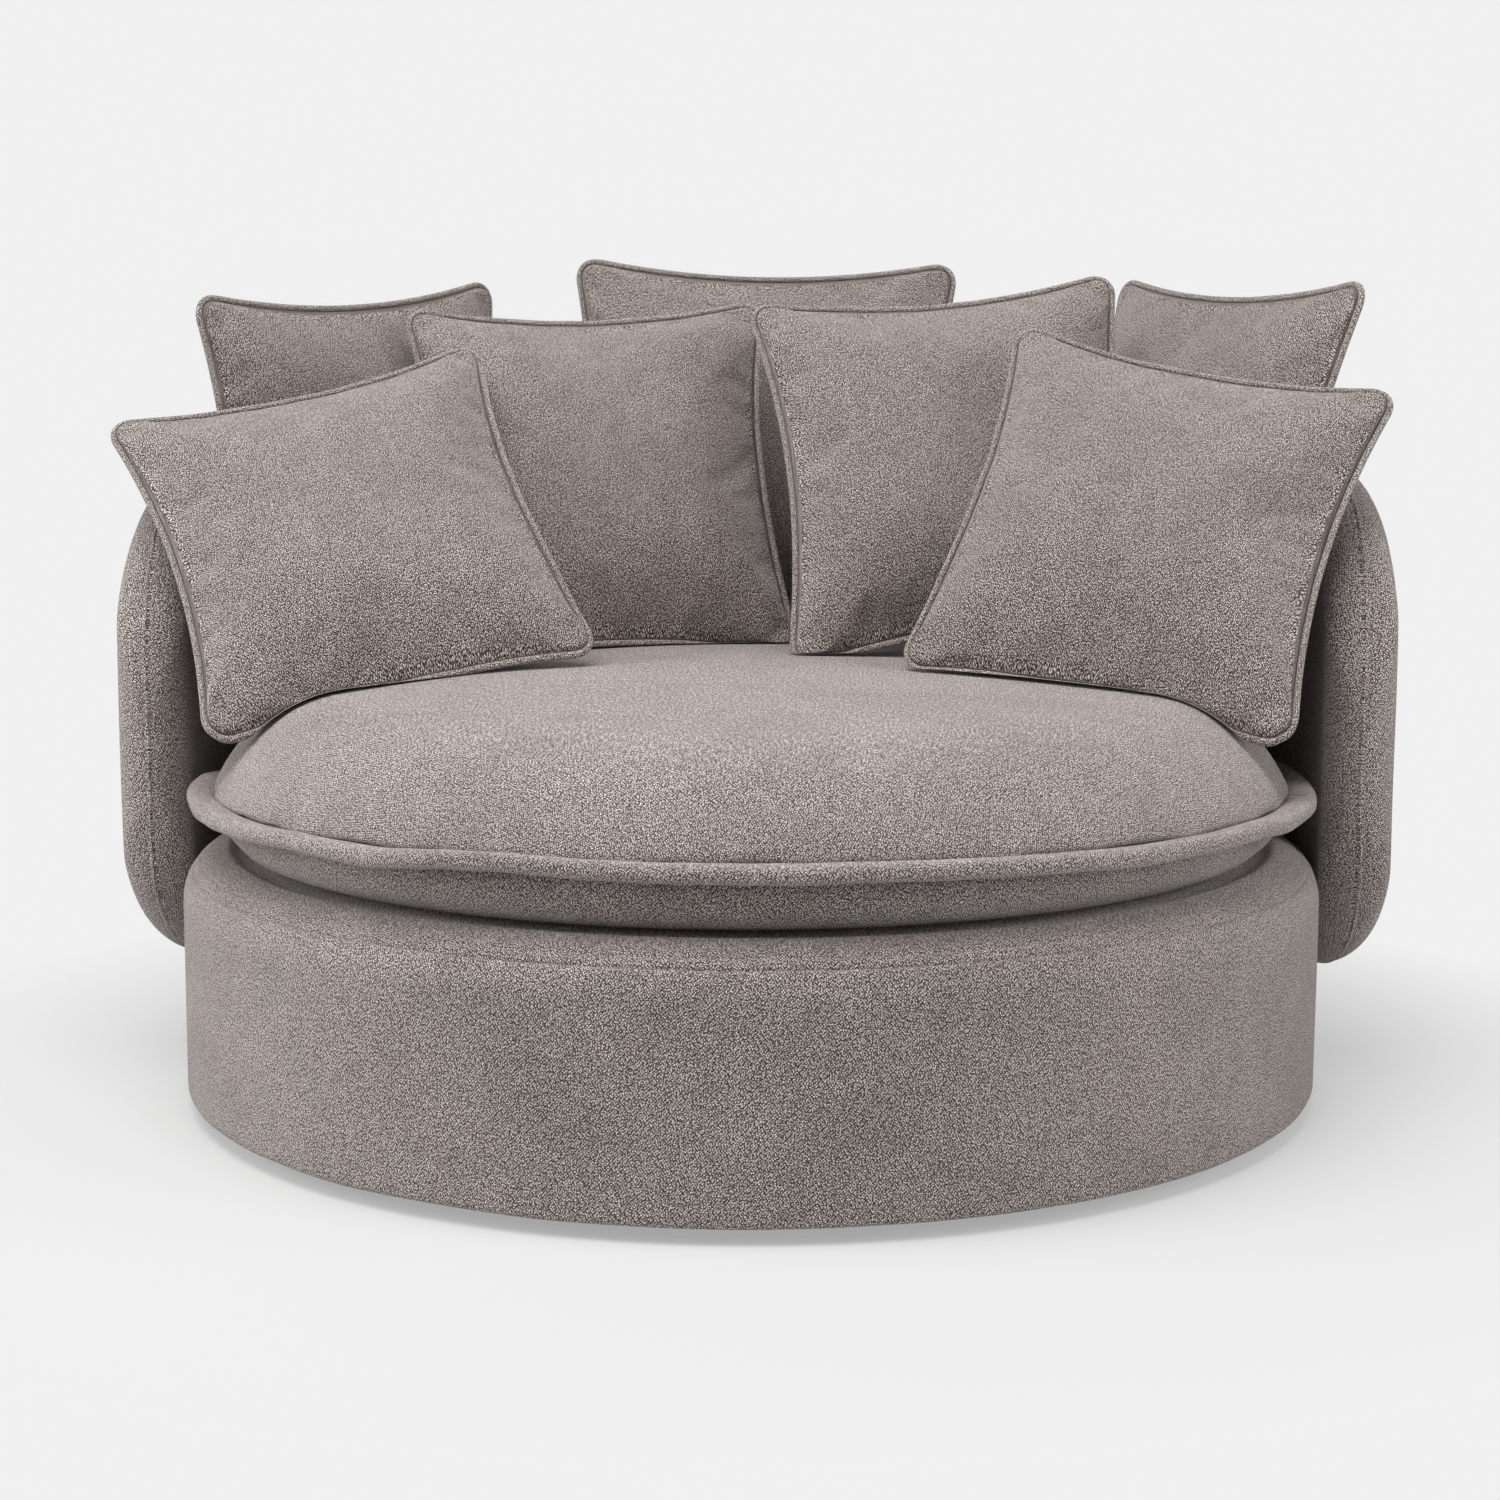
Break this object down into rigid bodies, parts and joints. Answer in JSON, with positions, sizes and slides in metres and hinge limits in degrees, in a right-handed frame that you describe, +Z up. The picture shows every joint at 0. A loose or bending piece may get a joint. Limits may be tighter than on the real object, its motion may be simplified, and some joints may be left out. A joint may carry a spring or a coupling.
{
  "type": "swivel armchair",
  "caption": "Round upholstered swivel chair: drum base, welted round seat cushion, wrap-round back with rounded ends and loose scatter cushions.",
  "frame": {"origin": "on the swivel axis at the floor, on the underside of the centre glide", "axes": "+Z up, the chair faces -Y, +X to the right as seen from in front"},
  "size_m": [1.4017, 1.301, 0.9111],
  "materials": {
    "upholstery": "taupe chenille with a fine pebbled weave",
    "dark_cloth": "black non-woven cloth",
    "webbing": "woven elastic webbing",
    "foam": "cut polyurethane foam",
    "filling": "white fibre filling in a cotton case",
    "plywood": "birch plywood",
    "timber": "planed softwood",
    "steel": "zinc plated",
    "black_steel": "black powder coat",
    "nylon": "black nylon",
    "zip_tape": "taupe coil zip"
  },
  "bodies": {
    "floor_base": {"plinth_board": "plywood", "centre_glide": "nylon", "rim_glides": "nylon", "swivel_lower_plate": "black_steel", "lower_plate_screws": "steel", "pivot_bolt": "steel", "pivot_washer": "steel", "pivot_nut": "steel"},
    "ball_race": {"ball_cage": "nylon", "bearing_balls": "steel"},
    "chair": {"swivel_upper_plate": "black_steel", "pivot_bush": "nylon", "upper_plate_screws": "steel", "bottom_board": "plywood", "dust_cloth": "dark_cloth", "drum_uprights": "timber", "seat_ring": "plywood", "webbing_lengthwise": "webbing", "webbing_crosswise": "webbing", "deck_pad": "foam", "drum_shell": "plywood", "drum_wrap": "foam", "drum_side_cover": "upholstery", "deck_cover": "upholstery", "back_bolts": "steel", "back_spacers": "timber", "back_panel": "plywood", "back_inner_foam": "foam", "back_inner_cover": "upholstery", "back_outer_foam": "foam", "back_outer_cover": "upholstery"},
    "seat_cushion": {"cushion_foam": "foam", "cushion_top_cover": "upholstery", "cushion_bottom_cover": "upholstery", "cushion_welt": "upholstery", "cushion_zip": "zip_tape"},
    "back_centre_cushion": {"back_centre_case": "upholstery", "back_centre_filling": "filling", "back_centre_piping": "upholstery"},
    "back_left_cushion": {"back_left_case": "upholstery", "back_left_filling": "filling", "back_left_piping": "upholstery"},
    "back_right_cushion": {"back_right_case": "upholstery", "back_right_filling": "filling", "back_right_piping": "upholstery"},
    "mid_left_cushion": {"mid_left_case": "upholstery", "mid_left_filling": "filling", "mid_left_piping": "upholstery"},
    "mid_right_cushion": {"mid_right_case": "upholstery", "mid_right_filling": "filling", "mid_right_piping": "upholstery"},
    "front_left_cushion": {"front_left_case": "upholstery", "front_left_filling": "filling", "front_left_piping": "upholstery"},
    "front_right_cushion": {"front_right_case": "upholstery", "front_right_filling": "filling", "front_right_piping": "upholstery"}
  },
  "joints": [
    {"name": "seat_swivel", "type": "hinge", "parent": "floor_base", "child": "chair", "pos_m": [0, 0, 0.037], "axis": [0, 0, 1], "continuous": true},
    {"name": "ball_race_turn", "type": "hinge", "parent": "floor_base", "child": "ball_race", "pos_m": [0, 0, 0.037], "axis": [0, 0, 1], "continuous": true},
    {"name": "seat_cushion_lift", "type": "slide", "parent": "chair", "child": "seat_cushion", "axis": [0, 0, 1], "range_m": [0, 0.42]},
    {"name": "back_centre_lift", "type": "slide", "parent": "seat_cushion", "child": "back_centre_cushion", "axis": [0, 0.342, 0.9397], "range_m": [0, 0.45]},
    {"name": "back_left_lift", "type": "slide", "parent": "seat_cushion", "child": "back_left_cushion", "axis": [0, 0.1736, 0.9848], "range_m": [0, 0.45]},
    {"name": "back_right_lift", "type": "slide", "parent": "seat_cushion", "child": "back_right_cushion", "axis": [0, 0.342, 0.9397], "range_m": [0, 0.45]},
    {"name": "mid_left_lift", "type": "slide", "parent": "seat_cushion", "child": "mid_left_cushion", "axis": [0.25, 0.433, 0.866], "range_m": [0, 0.45]},
    {"name": "mid_right_lift", "type": "slide", "parent": "seat_cushion", "child": "mid_right_cushion", "axis": [-0.433, 0.25, 0.866], "range_m": [0, 0.45]},
    {"name": "front_left_lift", "type": "slide", "parent": "seat_cushion", "child": "front_left_cushion", "axis": [0, -0.1736, 0.9848], "range_m": [0, 0.45]},
    {"name": "front_right_lift", "type": "slide", "parent": "seat_cushion", "child": "front_right_cushion", "axis": [0, -0.1736, 0.9848], "range_m": [0, 0.45]}
  ],
  "couplings": [
    {"joint": "ball_race_turn", "follows": "seat_swivel", "ratio": 0.5}
  ]
}
